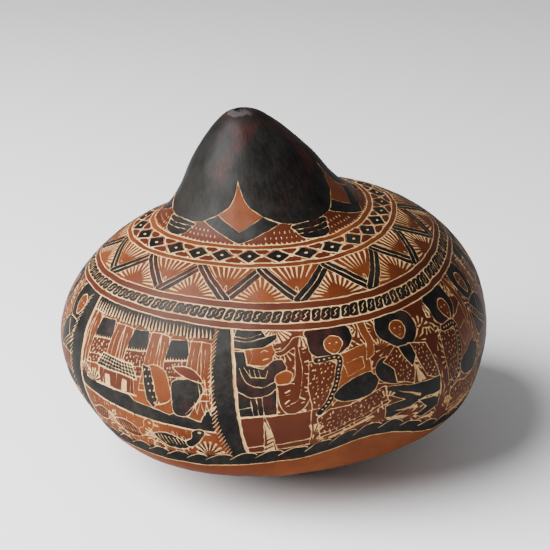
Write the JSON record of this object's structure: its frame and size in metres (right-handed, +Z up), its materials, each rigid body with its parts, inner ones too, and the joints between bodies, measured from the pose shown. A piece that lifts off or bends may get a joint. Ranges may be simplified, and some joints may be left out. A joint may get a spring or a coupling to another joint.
{
  "type": "gourd rattle",
  "caption": "Whole dried bottle gourd with a domed dark neck, engraved and dyed bands round the body, and its own dry seeds loose inside, shaken as a rattle.",
  "frame": {"origin": "middle of the box around the gourd, on the surface that it stands on", "axes": "+Z up, +X to the right seen from the front and along the longest extent, -Y to the front of the neck's lean"},
  "size_m": [0.2078, 0.2032, 0.1724],
  "materials": {
    "gourd_skin": "satin, engraved and dyed",
    "dry_pith": "matt, spongy",
    "corky_stem": "matt, corky",
    "dry_seed": "dull, papery"
  },
  "bodies": {
    "gourd": {"gourd_shell": "gourd_skin", "pith_lining": "dry_pith", "stem_stub": "corky_stem"},
    "seed_01": {"seed_01": "dry_seed"},
    "seed_02": {"seed_02": "dry_seed"},
    "seed_03": {"seed_03": "dry_seed"},
    "seed_04": {"seed_04": "dry_seed"},
    "seed_05": {"seed_05": "dry_seed"},
    "seed_06": {"seed_06": "dry_seed"},
    "seed_07": {"seed_07": "dry_seed"},
    "seed_08": {"seed_08": "dry_seed"},
    "seed_09": {"seed_09": "dry_seed"},
    "seed_10": {"seed_10": "dry_seed"},
    "seed_11": {"seed_11": "dry_seed"},
    "seed_12": {"seed_12": "dry_seed"},
    "seed_13": {"seed_13": "dry_seed"},
    "seed_14": {"seed_14": "dry_seed"},
    "seed_15": {"seed_15": "dry_seed"},
    "seed_16": {"seed_16": "dry_seed"},
    "seed_17": {"seed_17": "dry_seed"},
    "seed_18": {"seed_18": "dry_seed"},
    "pith_flake_1": {"pith_flake_1": "dry_pith"},
    "pith_flake_2": {"pith_flake_2": "dry_pith"}
  },
  "joints": [
    {"name": "seed_01_throw", "type": "slide", "parent": "gourd", "child": "seed_01", "axis": [0, 0, 1], "range_m": [0, 0.1364]},
    {"name": "seed_02_throw", "type": "slide", "parent": "gourd", "child": "seed_02", "axis": [0, 0, 1], "range_m": [0, 0.1152]},
    {"name": "seed_03_throw", "type": "slide", "parent": "gourd", "child": "seed_03", "axis": [0, 0, 1], "range_m": [0, 0.1203]},
    {"name": "seed_04_throw", "type": "slide", "parent": "gourd", "child": "seed_04", "axis": [0, 0, 1], "range_m": [0, 0.1279]},
    {"name": "seed_05_throw", "type": "slide", "parent": "gourd", "child": "seed_05", "axis": [0, 0, 1], "range_m": [0, 0.1501]},
    {"name": "seed_06_throw", "type": "slide", "parent": "gourd", "child": "seed_06", "axis": [0, 0, 1], "range_m": [0, 0.1329]},
    {"name": "seed_07_throw", "type": "slide", "parent": "gourd", "child": "seed_07", "axis": [0, 0, 1], "range_m": [0, 0.1193]},
    {"name": "seed_08_throw", "type": "slide", "parent": "gourd", "child": "seed_08", "axis": [0, 0, 1], "range_m": [0, 0.1027]},
    {"name": "seed_09_throw", "type": "slide", "parent": "gourd", "child": "seed_09", "axis": [0, 0, 1], "range_m": [0, 0.1044]},
    {"name": "seed_10_throw", "type": "slide", "parent": "gourd", "child": "seed_10", "axis": [0, 0, 1], "range_m": [0, 0.1021]},
    {"name": "seed_11_throw", "type": "slide", "parent": "gourd", "child": "seed_11", "axis": [0, 0, 1], "range_m": [0, 0.1023]},
    {"name": "seed_12_throw", "type": "slide", "parent": "gourd", "child": "seed_12", "axis": [0, 0, 1], "range_m": [0, 0.106]},
    {"name": "seed_13_throw", "type": "slide", "parent": "gourd", "child": "seed_13", "axis": [0, 0, 1], "range_m": [0, 0.1147]},
    {"name": "seed_14_throw", "type": "slide", "parent": "gourd", "child": "seed_14", "axis": [0, 0, 1], "range_m": [0, 0.1084]},
    {"name": "seed_15_throw", "type": "slide", "parent": "gourd", "child": "seed_15", "axis": [0, 0, 1], "range_m": [0, 0.1115]},
    {"name": "seed_16_throw", "type": "slide", "parent": "gourd", "child": "seed_16", "axis": [0, 0, 1], "range_m": [0, 0.1067]},
    {"name": "seed_17_throw", "type": "slide", "parent": "gourd", "child": "seed_17", "axis": [0, 0, 1], "range_m": [0, 0.1048]},
    {"name": "seed_18_throw", "type": "slide", "parent": "gourd", "child": "seed_18", "axis": [0, 0, 1], "range_m": [0, 0.1027]},
    {"name": "pith_flake_1_throw", "type": "slide", "parent": "gourd", "child": "pith_flake_1", "axis": [0, 0, 1], "range_m": [0, 0.0902]},
    {"name": "pith_flake_2_throw", "type": "slide", "parent": "gourd", "child": "pith_flake_2", "axis": [0, 0, 1], "range_m": [0, 0.0938]}
  ]
}
